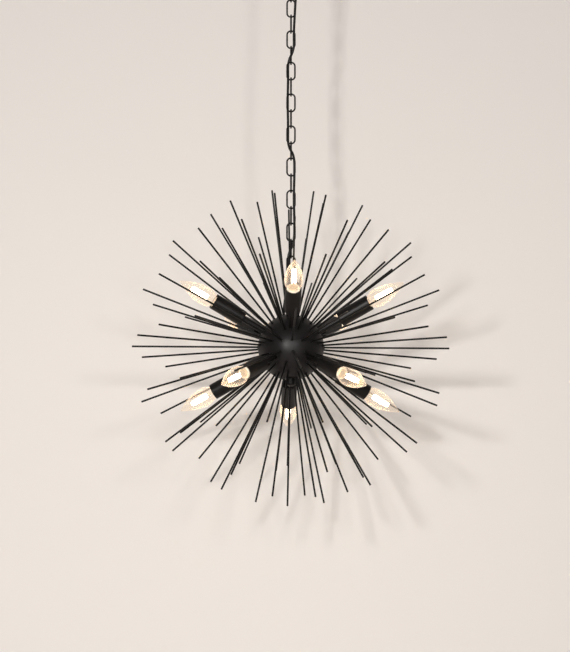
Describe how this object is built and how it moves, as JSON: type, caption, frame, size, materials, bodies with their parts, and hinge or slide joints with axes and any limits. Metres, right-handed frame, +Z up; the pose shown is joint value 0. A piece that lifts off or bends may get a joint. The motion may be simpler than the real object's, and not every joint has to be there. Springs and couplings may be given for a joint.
{
  "type": "sputnik chandelier",
  "caption": "Ceiling chandelier: a drilled round hub bristling with straight thin rods and candle lamps on short arms, hung from a ceiling canopy on a link chain.",
  "frame": {"origin": "middle of the ceiling face: the plane on which the bracket's ends and the canopy's rim lie, on the axis of the chain", "axes": "+Z up, out of the ceiling face; -Y is the front, towards the viewer; +X is to the viewer's right. The chandelier hangs along -Z."},
  "size_m": [0.597, 0.597, 1.0828],
  "materials": {
    "black_steel": "satin",
    "zinc_steel": "satin",
    "black_cord": "matte",
    "black_plastic": "matte",
    "white_plastic": "matte",
    "bulb_glass": "clear",
    "cap_metal": "satin",
    "filament": "glowing"
  },
  "bodies": {
    "ceiling_mount": {"ceiling_bracket": "zinc_steel", "mount_nipple": "zinc_steel", "nipple_nuts": "zinc_steel", "canopy": "black_steel", "canopy_collar": "black_steel", "canopy_loop": "black_steel", "canopy_bushing": "black_plastic", "supply_cord": "black_cord"},
    "link_1": {"chain_link_1": "black_steel"},
    "link_2": {"chain_link_2": "black_steel"},
    "link_3": {"chain_link_3": "black_steel"},
    "link_4": {"chain_link_4": "black_steel"},
    "link_5": {"chain_link_5": "black_steel"},
    "link_6": {"chain_link_6": "black_steel"},
    "link_7": {"chain_link_7": "black_steel"},
    "link_8": {"chain_link_8": "black_steel"},
    "link_9": {"chain_link_9": "black_steel"},
    "link_10": {"chain_link_10": "black_steel"},
    "link_11": {"chain_link_11": "black_steel"},
    "link_12": {"chain_link_12": "black_steel"},
    "link_13": {"chain_link_13": "black_steel"},
    "link_14": {"chain_link_14": "black_steel"},
    "link_15": {"chain_link_15": "black_steel"},
    "link_16": {"chain_link_16": "black_steel"},
    "link_17": {"chain_link_17": "black_steel"},
    "link_18": {"chain_link_18": "black_steel"},
    "link_19": {"chain_link_19": "black_steel"},
    "link_20": {"chain_link_20": "black_steel"},
    "hub": {"hub_loop": "black_steel", "hub_upper_shell": "black_steel", "hub_lower_shell": "black_steel", "centre_tube": "zinc_steel", "tube_nuts": "zinc_steel", "bottom_cap_nut": "black_steel", "hub_bushing": "black_plastic", "terminal_block": "white_plastic", "lamp_wires": "black_cord", "arm_nipples": "zinc_steel", "arm_tubes": "black_steel", "arm_locknuts": "zinc_steel", "lamp_sleeves": "black_steel", "lampholders": "white_plastic", "bulb_caps": "cap_metal", "bulb_glasses": "bulb_glass", "bulb_stems": "bulb_glass", "bulb_filaments": "filament", "rods_row_1": "black_steel", "rods_row_2": "black_steel", "rods_row_3": "black_steel", "rods_row_4": "black_steel", "rods_row_5": "black_steel", "rods_row_6": "black_steel", "rods_row_7": "black_steel", "rods_row_8": "black_steel", "rods_row_9": "black_steel"}
  },
  "joints": [
    {"name": "link_20_swing", "type": "hinge", "parent": "ceiling_mount", "child": "link_20", "pos_m": [0, 0, -0.063], "axis": [1, 0, 0], "range_deg": [-8, 8], "deforming": ["supply_cord"]},
    {"name": "link_19_swing", "type": "hinge", "parent": "link_20", "child": "link_19", "pos_m": [0, 0, -0.0952], "axis": [0, 1, 0], "range_deg": [-8, 8]},
    {"name": "link_18_swing", "type": "hinge", "parent": "link_19", "child": "link_18", "pos_m": [0, 0, -0.1278], "axis": [1, 0, 0], "range_deg": [-8, 8]},
    {"name": "link_17_swing", "type": "hinge", "parent": "link_18", "child": "link_17", "pos_m": [0, 0, -0.1604], "axis": [0, 1, 0], "range_deg": [-8, 8]},
    {"name": "link_16_swing", "type": "hinge", "parent": "link_17", "child": "link_16", "pos_m": [0, 0, -0.193], "axis": [1, 0, 0], "range_deg": [-8, 8]},
    {"name": "link_15_swing", "type": "hinge", "parent": "link_16", "child": "link_15", "pos_m": [0, 0, -0.2256], "axis": [0, 1, 0], "range_deg": [-8, 8]},
    {"name": "link_14_swing", "type": "hinge", "parent": "link_15", "child": "link_14", "pos_m": [0, 0, -0.2582], "axis": [1, 0, 0], "range_deg": [-8, 8]},
    {"name": "link_13_swing", "type": "hinge", "parent": "link_14", "child": "link_13", "pos_m": [0, 0, -0.2908], "axis": [0, 1, 0], "range_deg": [-8, 8]},
    {"name": "link_12_swing", "type": "hinge", "parent": "link_13", "child": "link_12", "pos_m": [0, 0, -0.3234], "axis": [1, 0, 0], "range_deg": [-8, 8]},
    {"name": "link_11_swing", "type": "hinge", "parent": "link_12", "child": "link_11", "pos_m": [0, 0, -0.356], "axis": [0, 1, 0], "range_deg": [-8, 8]},
    {"name": "link_10_swing", "type": "hinge", "parent": "link_11", "child": "link_10", "pos_m": [0, 0, -0.3886], "axis": [1, 0, 0], "range_deg": [-8, 8]},
    {"name": "link_9_swing", "type": "hinge", "parent": "link_10", "child": "link_9", "pos_m": [0, 0, -0.4212], "axis": [0, 1, 0], "range_deg": [-8, 8]},
    {"name": "link_8_swing", "type": "hinge", "parent": "link_9", "child": "link_8", "pos_m": [0, 0, -0.4538], "axis": [1, 0, 0], "range_deg": [-8, 8]},
    {"name": "link_7_swing", "type": "hinge", "parent": "link_8", "child": "link_7", "pos_m": [0, 0, -0.4864], "axis": [0, 1, 0], "range_deg": [-4, 4]},
    {"name": "link_6_swing", "type": "hinge", "parent": "link_7", "child": "link_6", "pos_m": [0, 0, -0.519], "axis": [1, 0, 0], "range_deg": [-4, 4]},
    {"name": "link_5_swing", "type": "hinge", "parent": "link_6", "child": "link_5", "pos_m": [0, 0, -0.5516], "axis": [0, 1, 0], "range_deg": [-4, 4]},
    {"name": "link_4_swing", "type": "hinge", "parent": "link_5", "child": "link_4", "pos_m": [0, 0, -0.5842], "axis": [1, 0, 0], "range_deg": [-4, 4]},
    {"name": "link_3_swing", "type": "hinge", "parent": "link_4", "child": "link_3", "pos_m": [0, 0, -0.6168], "axis": [0, 1, 0], "range_deg": [-4, 4]},
    {"name": "link_2_swing", "type": "hinge", "parent": "link_3", "child": "link_2", "pos_m": [0, 0, -0.6494], "axis": [1, 0, 0], "range_deg": [-4, 4]},
    {"name": "link_1_swing", "type": "hinge", "parent": "link_2", "child": "link_1", "pos_m": [0, 0, -0.682], "axis": [0, 1, 0], "range_deg": [-4, 4]},
    {"name": "hub_swing", "type": "hinge", "parent": "link_1", "child": "hub", "pos_m": [0, 0, -0.7146], "axis": [1, 0, 0], "range_deg": [-4, 4]}
  ]
}
